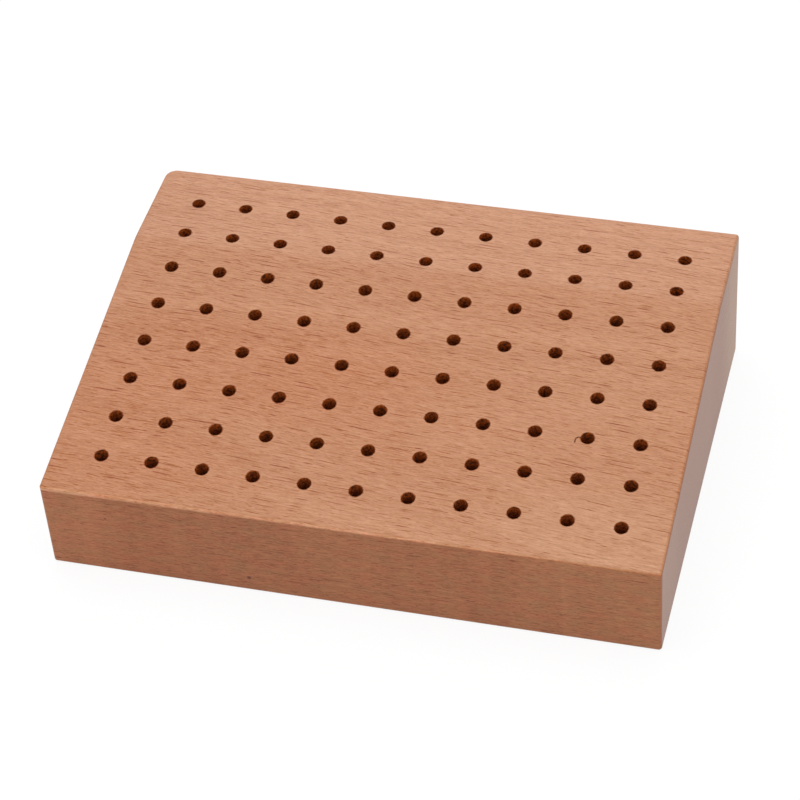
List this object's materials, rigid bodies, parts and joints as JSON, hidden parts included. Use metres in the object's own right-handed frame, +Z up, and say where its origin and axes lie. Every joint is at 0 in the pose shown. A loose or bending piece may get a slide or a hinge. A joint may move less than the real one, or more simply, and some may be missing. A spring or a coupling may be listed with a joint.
{
  "type": "wooden bur block",
  "caption": "Sloped solid wood block with a grid of blind holes that keeps rotary burs upright by their shanks.",
  "frame": {"origin": "middle of the flat underside", "axes": "+X along the length to the right, +Y from the low front to the high back, +Z up"},
  "size_m": [0.1474, 0.1042, 0.0381],
  "materials": {
    "beech": "fine sanded, unvarnished steamed beech"
  },
  "bodies": {
    "root": {"bur_block": "beech"}
  },
  "joints": []
}
